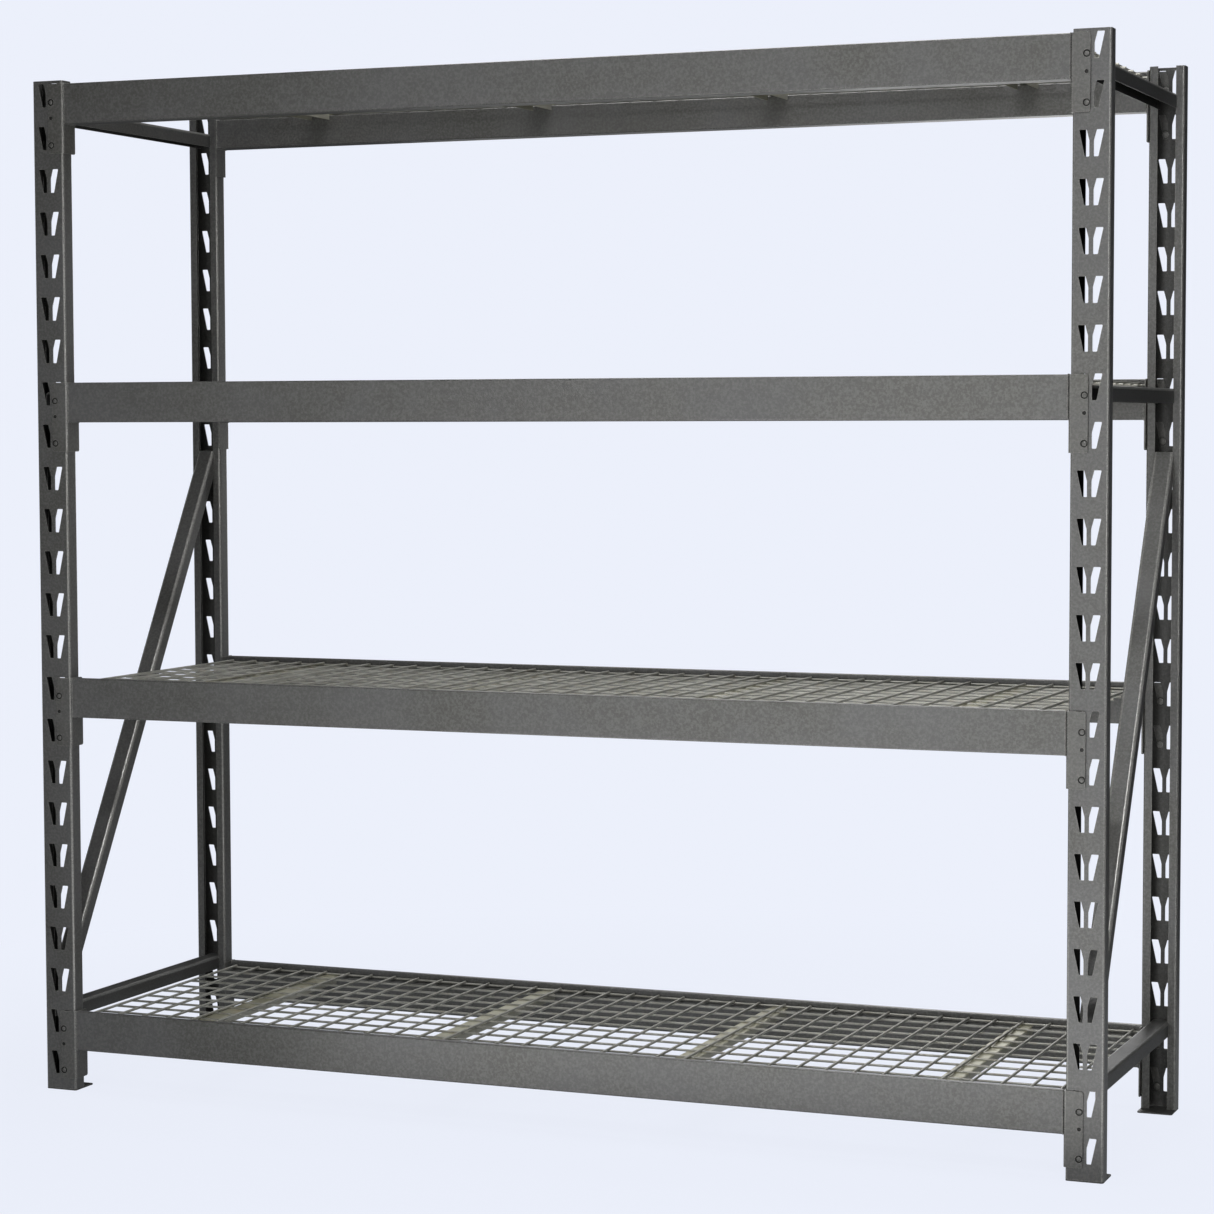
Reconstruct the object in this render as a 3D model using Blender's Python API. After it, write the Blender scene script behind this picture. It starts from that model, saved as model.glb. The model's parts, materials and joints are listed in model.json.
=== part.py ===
"""Boltless steel shelving: two welded end frames and four hook-on shelf levels with wire decks.

Frame: origin on the floor under the middle of the rack, +X along its width, -Y towards the
front, +Z up. All sizes are in metres. Every sheet-metal piece is drawn as its outer skin and
given its gauge by a Solidify modifier; repeated pieces share one mesh.
"""
import math

import bmesh
import bpy
from mathutils import Vector

# Overall size, over the post faces
WIDTH = 1.966
DEPTH = 0.584
HEIGHT = 1.829
GAP = 0.0003             # clearance between neighbouring pieces
BEND_SEGMENTS = 2        # straight pieces in each quarter bend

# Upright posts: lipped channels with a pair of tapered slots in every row
POST_WEB = 0.062
POST_FLANGE = 0.030
POST_OPENING = 0.0316    # between the two lips
POST_SHEET = 0.002
POST_BEND = 0.004
SLOT_ROWS = 24
SLOT_PITCH = 0.0762
SLOT_LENGTH = 0.042
FIRST_SLOT_DROP = 0.005  # post top to the top of the first slot
SLOT_TOP_INNER = 0.008   # distances from the web's centre line
SLOT_TOP_OUTER = 0.020
SLOT_FOOT_INNER = 0.0035
SLOT_FOOT_OUTER = 0.011
SLOT_SHOULDER = 0.0168   # below the slot's top, where the inner edge turns vertical

# Foot plates under the posts
FOOT_DEPTH = 0.060
FOOT_THICKNESS = 0.0025

# Welded end-frame braces: inverted channels, one profile for all
BRACE_WIDTH = POST_OPENING - 2 * GAP
BRACE_HEIGHT = 0.024
BRACE_SHEET = 0.0016
BRACE_BEND = 0.004
BRACE_INSET = 0.008      # post face to the end of a brace
BRACE_TOPS = {"bottom": 0.157, "middle": 1.271, "top": 1.780}
DIAGONAL_FOOT = (0.008, 0.2236)   # depth from the front face and height of the outer face
DIAGONAL_HEAD = (0.555, 1.1618)

# Step beams: closed tubes with a lip in front and a ledge for the deck behind it
BEAM_HEIGHT = 0.0715
BEAM_DEPTH = 0.038
BEAM_LIP = 0.014
BEAM_STEP = 0.0155
BEAM_SHEET = 0.0016
BEAM_BEND = 0.0025
BEAM_SETBACK = 0.001     # beam face behind the connector face

# End connectors: L plates with two riveted studs
CONNECTOR_HEIGHT = 0.124
CONNECTOR_SHEET = 0.0025
CONNECTOR_BEND = 0.004
CONNECTOR_INNER = 0.002  # front leg's free edge, from the web's centre line
CONNECTOR_REACH = 0.036  # side leg's free edge, behind the post face
STUD_DROP = 0.033        # connector top to the upper stud
STUD_SPACING = SLOT_PITCH
STUD_SEAT = 0.008        # stud centre above the foot of its slot
STUD_OFFSET = 0.00806    # stud centre from the web's centre line
STUD_NECK = 0.00425      # radii
STUD_HEAD = 0.00575
RIVET_HEAD = 0.006
RIVET_RISE = 0.0012
STUD_HEAD_DEPTH = 0.0027
STUD_SIDES = 6
LOCK_HOLE_DROP = 0.061
LOCK_HOLE_RADIUS = 0.0026

# Shelf levels, lowest first: the slot row that takes each level's upper stud
LEVEL_ROWS = (22, 14, 7, 0)

# Wire decks, drawn as one flat lattice, on channels that rest on the beam ledges
WIRE = 0.004
DECK_THICKNESS = 0.0075
DECK_LONG_WIRES = 11
DECK_CROSS_WIRES = 5
DECK_SIDE_MARGIN = 0.077     # post's outer side to the deck's end
DECK_LIP_CLEARANCE = 0.003
DECK_SUPPORTS = 4
SUPPORT_WIDTH = 0.036
SUPPORT_DEPTH = 0.011
SUPPORT_SHEET = 0.0015
SUPPORT_PITCH = 0.465
SUPPORT_SHIFT = 0.010        # the row of supports sits this far right of the middle

POST_X = WIDTH / 2 - POST_WEB / 2
CONNECTOR_FACE = CONNECTOR_SHEET + GAP
CONNECTOR_SIDE = POST_WEB / 2 + CONNECTOR_FACE
BEAM_FACE = CONNECTOR_FACE - BEAM_SETBACK
BEAM_LENGTH = 2 * (POST_X - CONNECTOR_SIDE - GAP)
DECK_EDGE = DEPTH / 2 + BEAM_FACE - BEAM_LIP - DECK_LIP_CLEARANCE


# ---- materials -----------------------------------------------------------------------------

def painted_material(name, colour, roughness, metallic):
    """One Principled material for a piece."""
    material = bpy.data.materials.new(name)
    material.use_nodes = True
    shader = material.node_tree.nodes["Principled BSDF"]
    shader.inputs["Base Color"].default_value = (*colour, 1.0)
    shader.inputs["Roughness"].default_value = roughness
    shader.inputs["Metallic"].default_value = metallic
    material.diffuse_color = (*colour, 1.0)
    return material


def frame_paint(name):
    return painted_material(name, (0.085, 0.088, 0.090), 0.42, 0.55)


def deck_plating(name):
    return painted_material(name, (0.230, 0.225, 0.190), 0.38, 0.85)


def support_plating(name):
    return painted_material(name, (0.200, 0.185, 0.130), 0.45, 0.80)


# ---- geometry helpers ----------------------------------------------------------------------

def rounded(corners, radius, closed=False):
    """Replace each corner of a 2-D line by an arc of BEND_SEGMENTS pieces."""
    count = len(corners)
    points = []
    for index, corner in enumerate(corners):
        here = Vector(corner)
        if not closed and index in (0, count - 1):
            points.append(here)
            continue
        before = (Vector(corners[index - 1]) - here).normalized()
        after = (Vector(corners[(index + 1) % count]) - here).normalized()
        centre = here + (before + after) * radius
        for step in range(BEND_SEGMENTS + 1):
            turn = math.pi / 2 * step / BEND_SEGMENTS
            points.append(centre - after * radius * math.cos(turn) - before * radius * math.sin(turn))
    return points


def extrude_line(bm, points, length, axes, closed=False, skip=None):
    """Sweep a 2-D line along axes[2], from -length/2 to length/2; leave out strip number skip."""
    across, up, along = axes
    rings = []
    for end in (-length / 2, length / 2):
        rings.append([bm.verts.new(across * p.x + up * p.y + along * end) for p in points])
    strips = len(points) if closed else len(points) - 1
    for index in range(strips):
        after = (index + 1) % len(points)
        if index != skip:
            bm.faces.new((rings[0][index], rings[0][after], rings[1][after], rings[1][index]))
    return rings


def loop_edges(bm, verts):
    """Edges round a closed loop of vertices, new where they don't exist yet."""
    edges = []
    for first, second in zip(verts, verts[1:] + verts[:1]):
        edges.append(bm.edges.get((first, second)) or bm.edges.new((first, second)))
    return edges


def fill_with_holes(bm, outline, holes, normal):
    """Fill a flat outline around the given hole loops, facing along normal."""
    edges = loop_edges(bm, outline)
    for hole in holes:
        edges += loop_edges(bm, hole)
    filled = bmesh.ops.triangle_fill(bm, use_beauty=True, edges=edges, normal=normal)
    for face in filled["geom"]:
        if isinstance(face, bmesh.types.BMFace) and face.normal.dot(normal) < 0:
            face.normal_flip()


def finish_mesh(bm, name, sheet=0.0, union=None):
    """Turn a bmesh into a mesh, with its gauge and any welded-on piece, ready to be shared."""
    mesh = bpy.data.meshes.new(name)
    if not sheet:
        bmesh.ops.recalc_face_normals(bm, faces=bm.faces)
    bm.to_mesh(mesh)
    bm.free()
    shape = bpy.data.objects.new(name, mesh)
    bpy.context.scene.collection.objects.link(shape)
    if sheet:
        gauge = shape.modifiers.new("gauge", "SOLIDIFY")
        gauge.thickness = sheet
        gauge.offset = -1.0
        gauge.use_even_offset = True
    if union:
        join = shape.modifiers.new("rivets", "BOOLEAN")
        join.operation = "UNION"
        join.object = union
    depsgraph = bpy.context.evaluated_depsgraph_get()
    final = bpy.data.meshes.new_from_object(shape.evaluated_get(depsgraph))
    bpy.data.objects.remove(shape)
    return final


# ---- the pieces' meshes --------------------------------------------------------------------

def slot_outline(row, side):
    """Corners of one tapered slot, as (across, height above the floor); side is +1 or -1."""
    top = HEIGHT - FIRST_SLOT_DROP - row * SLOT_PITCH
    return ((side * SLOT_TOP_INNER, top), (side * SLOT_TOP_OUTER, top),
            (side * SLOT_FOOT_OUTER, top - SLOT_LENGTH),
            (side * SLOT_FOOT_INNER, top - SLOT_LENGTH),
            (side * SLOT_FOOT_INNER, top - SLOT_SHOULDER))


def post_mesh():
    """Lipped channel, web on y = 0 facing -Y, standing on its foot plate."""
    foot = FOOT_THICKNESS + GAP
    length = HEIGHT - foot
    half = POST_WEB / 2
    lip = POST_OPENING / 2
    corners = ((-lip, POST_FLANGE), (-half, POST_FLANGE), (-half, 0.0),
               (half, 0.0), (half, POST_FLANGE), (lip, POST_FLANGE))
    points = rounded(corners, POST_BEND)
    web = points.index(min(points, key=lambda p: abs(p.x + half - POST_BEND) + abs(p.y)))
    bm = bmesh.new()
    axes = (Vector((1, 0, 0)), Vector((0, 1, 0)), Vector((0, 0, 1)))
    low, high = extrude_line(bm, points, length, axes, skip=web)
    middle = foot + length / 2
    holes = []
    for row in range(SLOT_ROWS):
        for side in (-1, 1):
            outline = slot_outline(row, side)
            holes.append([bm.verts.new((across, 0.0, height - middle)) for across, height in outline])
    outline = [low[web], low[web + 1], high[web + 1], high[web]]
    fill_with_holes(bm, outline, holes, Vector((0, -1, 0)))
    bmesh.ops.translate(bm, verts=bm.verts, vec=(0, 0, middle))
    return finish_mesh(bm, "post", POST_SHEET)


def foot_mesh():
    """Flat plate under a post, reaching inwards past the post's lips."""
    bm = bmesh.new()
    bmesh.ops.create_cube(bm, size=1.0)
    bmesh.ops.scale(bm, verts=bm.verts, vec=(POST_WEB, FOOT_DEPTH, FOOT_THICKNESS))
    bmesh.ops.translate(bm, verts=bm.verts, vec=(0, FOOT_DEPTH / 2, FOOT_THICKNESS / 2))
    return finish_mesh(bm, "foot")


def brace_mesh(length):
    """Channel along Y with its web on top, centred on its length."""
    half = BRACE_WIDTH / 2
    corners = ((half, -BRACE_HEIGHT), (half, 0.0), (-half, 0.0), (-half, -BRACE_HEIGHT))
    bm = bmesh.new()
    axes = (Vector((-1, 0, 0)), Vector((0, 0, 1)), Vector((0, 1, 0)))
    extrude_line(bm, rounded(corners, BRACE_BEND), length, axes)
    return finish_mesh(bm, "brace", BRACE_SHEET)


def beam_mesh():
    """Step beam along X: face on y = 0, lip top on z = 0, ledge behind and below the lip."""
    corners = ((0.0, -BEAM_HEIGHT), (BEAM_DEPTH, -BEAM_HEIGHT), (BEAM_DEPTH, -BEAM_STEP),
               (BEAM_LIP, -BEAM_STEP), (BEAM_LIP, 0.0), (0.0, 0.0))
    bm = bmesh.new()
    axes = (Vector((0, 1, 0)), Vector((0, 0, 1)), Vector((1, 0, 0)))
    extrude_line(bm, rounded(corners, BEAM_BEND, closed=True), BEAM_LENGTH, axes, closed=True)
    return finish_mesh(bm, "beam", BEAM_SHEET)


def turned(bm, profile, centre):
    """Solid of revolution about the Y line through centre; profile is (radius, y) pairs."""
    rings = []
    for radius, depth in profile:
        ring = []
        for step in range(STUD_SIDES):
            turn = 2 * math.pi * step / STUD_SIDES
            ring.append(bm.verts.new((centre.x + radius * math.cos(turn), depth,
                                      centre.z + radius * math.sin(turn))))
        rings.append(ring)
    for first, second in zip(rings, rings[1:]):
        for step in range(STUD_SIDES):
            after = (step + 1) % STUD_SIDES
            bm.faces.new((first[step], first[after], second[after], second[step]))
    bm.faces.new(rings[0])
    bm.faces.new(rings[-1])


def studs_object(side):
    """The two riveted studs of a connector, as a hidden piece for its union."""
    plate_middle = -GAP - CONNECTOR_SHEET / 2
    head_start = POST_SHEET + GAP
    profile = ((RIVET_HEAD, -CONNECTOR_FACE - RIVET_RISE), (RIVET_HEAD, plate_middle),
               (STUD_NECK, plate_middle), (STUD_NECK, head_start),
               (STUD_HEAD, head_start), (STUD_HEAD, head_start + STUD_HEAD_DEPTH))
    bm = bmesh.new()
    for drop in (STUD_DROP, STUD_DROP + STUD_SPACING):
        turned(bm, profile, Vector((side * STUD_OFFSET, 0.0, -drop)))
    bmesh.ops.recalc_face_normals(bm, faces=bm.faces)
    mesh = bpy.data.meshes.new("studs")
    bm.to_mesh(mesh)
    bm.free()
    studs = bpy.data.objects.new("studs", mesh)
    bpy.context.scene.collection.objects.link(studs)
    return studs


def connector_mesh(side):
    """L plate round the rack-side corner of a post; side +1 for a post on the rack's left."""
    corners = [(CONNECTOR_INNER, -CONNECTOR_FACE), (CONNECTOR_SIDE, -CONNECTOR_FACE),
               (CONNECTOR_SIDE, CONNECTOR_REACH)]
    points = rounded(corners, CONNECTOR_BEND)
    if side < 0:
        points = [Vector((-point.x, point.y)) for point in reversed(points)]
    front = 0 if side > 0 else len(points) - 2
    bm = bmesh.new()
    axes = (Vector((1, 0, 0)), Vector((0, 1, 0)), Vector((0, 0, 1)))
    low, high = extrude_line(bm, points, CONNECTOR_HEIGHT, axes, skip=front)
    bmesh.ops.translate(bm, verts=bm.verts, vec=(0, 0, -CONNECTOR_HEIGHT / 2))
    hole = []
    for step in range(STUD_SIDES):
        turn = 2 * math.pi * step / STUD_SIDES
        hole.append(bm.verts.new((side * STUD_OFFSET + LOCK_HOLE_RADIUS * math.cos(turn),
                                  -CONNECTOR_FACE,
                                  -LOCK_HOLE_DROP + LOCK_HOLE_RADIUS * math.sin(turn))))
    outline = [low[front], low[front + 1], high[front + 1], high[front]]
    fill_with_holes(bm, outline, [hole], Vector((0, -1, 0)))
    studs = studs_object(side)
    mesh = finish_mesh(bm, "connector", CONNECTOR_SHEET, union=studs)
    bpy.data.objects.remove(studs)
    return mesh


def wire_edges(first, last, count):
    """Both edges of each of count wires whose middles run evenly from first to last."""
    edges = []
    for index in range(count):
        middle = first + (last - first) * index / (count - 1)
        edges += [middle - WIRE / 2, middle + WIRE / 2]
    return edges


def deck_mesh():
    """Flat lattice of the deck's wires, its underside on z = 0."""
    end = WIDTH / 2 - DECK_SIDE_MARGIN - WIRE / 2
    edge = DECK_EDGE - WIRE / 2
    columns = wire_edges(-end, end, DECK_CROSS_WIRES)
    rows = wire_edges(-edge, edge, DECK_LONG_WIRES)
    bm = bmesh.new()
    grid = [[bm.verts.new((x, y, 0.0)) for y in rows] for x in columns]
    for i in range(len(columns) - 1):
        for j in range(len(rows) - 1):
            if i % 2 == 0 or j % 2 == 0:
                bm.faces.new((grid[i][j], grid[i + 1][j], grid[i + 1][j + 1], grid[i][j + 1]))
    lifted = bmesh.ops.extrude_face_region(bm, geom=bm.faces[:])
    tops = [item for item in lifted["geom"] if isinstance(item, bmesh.types.BMVert)]
    bmesh.ops.translate(bm, verts=tops, vec=(0, 0, DECK_THICKNESS))
    return finish_mesh(bm, "deck")


def support_mesh():
    """Channel along Y with its web on top; the web runs on at both ends as resting tabs."""
    tab_end = DECK_EDGE
    body_end = DEPTH / 2 + BEAM_FACE - BEAM_DEPTH - DECK_LIP_CLEARANCE
    half = SUPPORT_WIDTH / 2
    inner = half - SUPPORT_SHEET
    section = ((-half, 0.0), (half, 0.0), (half, -SUPPORT_SHEET), (half, -SUPPORT_DEPTH),
               (inner, -SUPPORT_DEPTH), (inner, -SUPPORT_SHEET), (-inner, -SUPPORT_SHEET),
               (-inner, -SUPPORT_DEPTH), (-half, -SUPPORT_DEPTH), (-half, -SUPPORT_SHEET))
    bm = bmesh.new()
    rings = [[bm.verts.new((x, y, z)) for x, z in section] for y in (-body_end, body_end)]
    for index in range(len(section)):
        after = (index + 1) % len(section)
        bm.faces.new((rings[0][index], rings[0][after], rings[1][after], rings[1][index]))
    for ring, outward in zip(rings, (-1, 1)):
        bm.faces.new((ring[2], ring[3], ring[4], ring[5]))
        bm.faces.new((ring[9], ring[6], ring[7], ring[8]))
        web = bm.faces.new((ring[0], ring[1], ring[2], ring[5], ring[6], ring[9]))
        tab = bmesh.ops.extrude_discrete_faces(bm, faces=[web])["faces"][0]
        bmesh.ops.translate(bm, verts=tab.verts, vec=(0, outward * (tab_end - body_end), 0))
    return finish_mesh(bm, "support")


# ---- assembly ------------------------------------------------------------------------------

def place(name, mesh, material, location, parent, half_turn=False, tilt=0.0):
    """Add one named piece; half_turn faces it the other way, tilt leans it about X."""
    own_mesh = mesh.copy()
    own_mesh.materials.clear()
    own_mesh.materials.append(material(name + "_finish"))
    piece = bpy.data.objects.new(name, own_mesh)
    bpy.context.scene.collection.objects.link(piece)
    piece.location = location
    piece.rotation_euler = (tilt, 0.0, math.pi if half_turn else 0.0)
    piece.parent = parent
    return piece


def add_empty(name, height=0.0, parent=None):
    empty = bpy.data.objects.new(name, None)
    empty.location = (0.0, 0.0, height)
    empty.parent = parent
    bpy.context.scene.collection.objects.link(empty)
    return empty


def build_end_frames(rack):
    """Posts, foot plates and welded braces of both end frames."""
    post = post_mesh()
    foot = foot_mesh()
    for face, turned_round in (("front", False), ("back", True)):
        y = DEPTH / 2 if turned_round else -DEPTH / 2
        for hand, side in (("left", -1), ("right", 1)):
            spot = (side * POST_X, y, 0.0)
            place("post_%s_%s" % (face, hand), post, frame_paint, spot, rack, turned_round)
            place("foot_%s_%s" % (face, hand), foot, frame_paint, spot, rack, turned_round)
    level_brace = brace_mesh(DEPTH - 2 * BRACE_INSET)
    run = DIAGONAL_HEAD[0] - DIAGONAL_FOOT[0]
    rise = DIAGONAL_HEAD[1] - DIAGONAL_FOOT[1]
    diagonal = brace_mesh(math.hypot(run, rise))
    middle_y = (DIAGONAL_HEAD[0] + DIAGONAL_FOOT[0]) / 2 - DEPTH / 2
    middle_z = (DIAGONAL_HEAD[1] + DIAGONAL_FOOT[1]) / 2
    for hand, side in (("left", -1), ("right", 1)):
        for level, top in BRACE_TOPS.items():
            place("brace_%s_%s" % (hand, level), level_brace, frame_paint,
                  (side * POST_X, 0.0, top), rack)
        place("brace_%s_diagonal" % hand, diagonal, frame_paint,
              (side * POST_X, middle_y, middle_z), rack, tilt=math.atan2(rise, run))


def level_top(row):
    """Height of a beam's lip when its upper stud sits in the given slot row."""
    slot_foot = HEIGHT - FIRST_SLOT_DROP - row * SLOT_PITCH - SLOT_LENGTH
    return slot_foot + STUD_SEAT + STUD_DROP


def build_level(number, row, rack, meshes):
    """Front and back beams with their connectors, and the deck that rests on them."""
    top = level_top(row)
    holders = {}
    for face, turned_round in (("front", False), ("back", True)):
        holder = add_empty("lift_%s_beam_%d" % (face, number), top, rack)
        holders[face] = holder
        outward = 1 if turned_round else -1
        place("beam_%s_%d" % (face, number), meshes["beam"], frame_paint,
              (0.0, outward * (DEPTH / 2 + BEAM_FACE), 0.0), holder, turned_round)
        for hand, side in (("left", -1), ("right", 1)):
            towards_rack = side * outward
            place("connector_%s_%s_%d" % (face, hand, number), meshes["connector"][towards_rack],
                  frame_paint, (side * POST_X, outward * DEPTH / 2, 0.0), holder, turned_round)
    deck_holder = add_empty("lift_deck_%d" % number, -BEAM_STEP + GAP, holders["front"])
    for index in range(DECK_SUPPORTS):
        x = SUPPORT_SHIFT + (index - (DECK_SUPPORTS - 1) / 2) * SUPPORT_PITCH
        place("deck_support_%d_%d" % (number, index + 1), meshes["support"], support_plating,
              (x, 0.0, SUPPORT_SHEET), deck_holder)
    place("deck_mesh_%d" % number, meshes["deck"], deck_plating,
          (0.0, 0.0, SUPPORT_SHEET + GAP), deck_holder)


def build():
    for item in list(bpy.data.objects):
        bpy.data.objects.remove(item)
    rack = add_empty("rack")
    build_end_frames(rack)
    meshes = {
        "beam": beam_mesh(),
        "connector": {1: connector_mesh(1), -1: connector_mesh(-1)},
        "deck": deck_mesh(),
        "support": support_mesh(),
    }
    for number, row in enumerate(LEVEL_ROWS, start=1):
        build_level(number, row, rack, meshes)


build()
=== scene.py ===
"""Looks of the boltless steel shelving: pressed and welded sheet metal with welded wire decks.

Every piece is drawn in metres, in the frame's own axes, from the box of the CAD node that it
stands for. Sheet metal is drawn as its outer skin and then given its gauge and rounded edges.
"""
import json
import math

import bmesh
import bpy
from mathutils import Matrix, Vector, noise


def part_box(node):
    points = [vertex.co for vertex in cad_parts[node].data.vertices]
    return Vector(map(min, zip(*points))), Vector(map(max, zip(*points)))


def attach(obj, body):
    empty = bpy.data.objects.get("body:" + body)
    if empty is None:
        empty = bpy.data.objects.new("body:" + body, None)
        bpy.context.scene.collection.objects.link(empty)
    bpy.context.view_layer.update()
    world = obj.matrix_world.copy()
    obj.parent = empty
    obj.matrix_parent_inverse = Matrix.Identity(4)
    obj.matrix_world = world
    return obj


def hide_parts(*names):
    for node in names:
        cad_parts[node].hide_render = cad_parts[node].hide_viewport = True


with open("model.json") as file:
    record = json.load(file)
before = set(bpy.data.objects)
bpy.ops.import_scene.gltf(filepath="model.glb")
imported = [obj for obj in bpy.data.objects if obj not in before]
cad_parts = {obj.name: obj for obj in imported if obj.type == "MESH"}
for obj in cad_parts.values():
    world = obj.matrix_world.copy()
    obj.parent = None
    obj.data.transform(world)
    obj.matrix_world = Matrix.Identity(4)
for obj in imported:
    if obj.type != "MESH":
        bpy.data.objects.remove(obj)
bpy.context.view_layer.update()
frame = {"nodes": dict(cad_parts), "record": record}

GAP = 0.0003                     # between neighbouring pieces, as in the CAD
ARC_STEP = math.radians(15)      # of each straight piece in a bend
SHARP_ANGLE = math.radians(38)   # between faces that are shaded apart
CUT_ANGLE = math.radians(50)     # between the faces at a cut edge, at least
EDGE_ROUND = 0.00035             # on the cut edges of sheet metal
BEND = "bend"                    # mesh attribute: 1 on bends of sheet metal, which are painted lighter as a highlight; -1 on recess floors, painted dark as shade

# Posts
POST_SHEET = 0.002
POST_BEND = 0.004
POST_OPENING = 0.0316
SLOT_ROWS = 24
SLOT_PITCH = 0.0762
SLOT_LENGTH = 0.042
FIRST_SLOT_DROP = 0.005
SLOT_TOP = (0.008, 0.020)        # inner and outer corner, from the web's centre line
SLOT_FOOT = (0.0035, 0.011)
SLOT_SHOULDER = 0.0168           # below the slot's top, where its inner side turns upright
SLOT_ROUND = 0.0014
SHOULDER_ROUND = 0.010

# Braces
BRACE_SHEET = 0.0016
BRACE_BEND = 0.004
BRACE_HEIGHT = 0.024
POST_FLANGE = 0.030
WELD = 0.0016                    # radius of a weld bead
WELD_STEP = 0.8                  # between the rings that a bead is made of, in radii
WELD_SIDES = 8
BEAD_RIPPLE = (0.88, 0.12)       # a bead's mean size and its regular ripple, in radii
BEAD_UNEVEN = (0.25, 300)        # how uneven it is besides, in radii, and how fast that varies
BEAM_WELD = 0.7                  # size of a beam's bead beside a brace's
LEVEL_WELD_INSET = 0.001         # from the bead's ends to the brace's edges
SLOPED_WELD_INSET = 0.003

# Beams and their end connectors
BEAM_LIP = 0.014
BEAM_STEP = 0.0155
BEAM_SHEET = 0.0016
BEAM_BEND = 0.0025
CONNECTOR_SHEET = 0.0025
CONNECTOR_BEND = 0.004
CONNECTOR_INNER = 0.002
CONNECTOR_CORNER = 0.004
STUD_DROP = 0.033
STUD_OFFSET = 0.00806
STUD_NECK = 0.00425
STUD_HEAD = 0.00575
STUD_HEAD_DEPTH = 0.0027
NEAR_CHAMFER = 0.0004            # on the stud head's edge beside the post
FAR_CHAMFER = (0.0008, 0.0006)   # on its other edge, across and along
RIVET_HEAD = 0.0037              # radius of the stud's riveted end, in its recess
RIVET_RECESS = 0.0062
RIVET_RISE = 0.0004              # of its flat crown beyond the plate
RIVET_CROWN = 0.0012             # from its rim in to the crown
RIVET_RIM = 0.0002               # of its rim below the plate's face
RECESS_DEPTH = 0.0018
RECESS_BACK = 0.0002             # between the plate's back and what closes a recess
LOCK_HOLE_DROP = 0.061
LOCK_HOLE_RADIUS = 0.0034
HOLE_SIDES = 20
TURNED_SIDES = 24                # of studs and their recesses

# Decks
LONG_RADIUS = 0.0021             # lengthwise wires, below
CROSS_RADIUS = 0.0024            # front-to-back wires, above
LONG_OVERHANG = 0.009            # lengthwise wires run on past the last front-to-back wire
WIRE_SIDES = 10
LONG_WIRES = 11
CROSS_WIRES = 37
WIRE_WANDER = 0.0006             # how far a wire strays sideways from straight
WANDER_RATE = 4.0                # wanderings along each metre, roughly
WANDER_STRIDE = 7.3              # from wire to wire, far enough that each wanders on its own
FIRST_COLUMN = 50                # wire number of the first front-to-back wire
WIRE_END = 0.0005                # length of a wire's rounded end
WIRE_TIP = 0.75                  # radius of the end's cut, in wire radii
NUGGET_RINGS = ((0.0019, -0.0011), (0.0026, 0.0), (0.0019, 0.0011))   # radius and height
NUGGET_SIDES = 8
SUPPORT_SHEET = 0.0015
SUPPORT_BEND = 0.0025
SUPPORT_TAB = 0.024              # the web's run beyond its flanges at each end
TAB_CORNER = 0.004

# Tones, from 0 black to 1 white
RUBBED_EDGE_AND_HIGHLIGHT = 0.34               # paint rubbed through on a cut edge, and a painted highlight there
# painted highlight along the bends of sheet metal
BEND_HIGHLIGHT_TONE = 0.36
# painted shade on the floors of recesses
RECESS_SHADE = 0.012
# painted shade deep inside channels and hollows
INSIDE_SHADE = 0.010
CLEAN_LIT_SIDE = 0.42                # plating on the faces that look sideways: less stained, and painted paler as light falls on them

EDGE_REACH = 0.0011              # how far paint is rubbed through beside an edge, and painted lighter as a highlight
INSIDE_REACH = 0.06              # how near its own metal is round a place that is deep inside and so painted dark as shade

# Noise scales, per metre
PAINT_BROAD = 5.0
PAINT_MOTTLE = 230.0
PAINT_SPECKLE = 700.0
PAINT_DIMPLES = 330.0
PLATING_BROAD = 14.0
PLATING_PATCHES = 45.0
PLATING_GRAIN = 900.0


# ---- node materials ------------------------------------------------------------------------

class Nodes:
    """Shorthand for building one material's or world's node tree."""

    def __init__(self, tree):
        self.tree = tree
        self.tree.nodes.clear()

    def add(self, kind, settings=None, **inputs):
        """A new node; inputs take a value or a socket and are named as on it, _ for a space."""
        node = self.tree.nodes.new("ShaderNode" + kind)
        for key, value in (settings or {}).items():
            setattr(node, key, value)
        for key, value in inputs.items():
            socket = node.inputs[key.replace("_", " ")]
            if isinstance(value, bpy.types.NodeSocket):
                self.tree.links.new(value, socket)
            else:
                socket.default_value = value
        return node

    def noise(self, place, scale, detail, roughness):
        return self.add("TexNoise", Vector=place, Scale=scale, Detail=detail,
                        Roughness=roughness).outputs["Fac"]

    def spread(self, value, low, high, to_low=0.0, to_high=1.0):
        """value from low..high to to_low..to_high, smoothly and clamped."""
        node = self.add("MapRange", {"interpolation_type": "SMOOTHSTEP"}, Value=value,
                        From_Min=low, From_Max=high, To_Min=to_low, To_Max=to_high)
        return node.outputs["Result"]

    def mix(self, share, first, second):
        """Colour that goes from first to second as share goes from 0 to 1."""
        return self.add("MixRGB", Fac=share, Color1=first, Color2=second).outputs["Color"]

    def maths(self, operation, first, second=0.0):
        node = self.tree.nodes.new("ShaderNodeMath")
        node.operation = operation
        for socket, value in zip(node.inputs, (first, second)):
            if isinstance(value, bpy.types.NodeSocket):
                self.tree.links.new(value, socket)
            else:
                socket.default_value = value
        return node.outputs["Value"]

    def edges(self, radius):
        """1 on sharp edges, falling to 0 within radius of them."""
        rounded = self.add("Bevel", {"samples": 6}, Radius=radius).outputs["Normal"]
        flat = self.add("NewGeometry").outputs["Normal"]
        likeness = self.add("VectorMath", {"operation": "DOT_PRODUCT"})
        self.tree.links.new(rounded, likeness.inputs[0])
        self.tree.links.new(flat, likeness.inputs[1])
        return self.spread(likeness.outputs["Value"], 0.995, 0.90)


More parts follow.
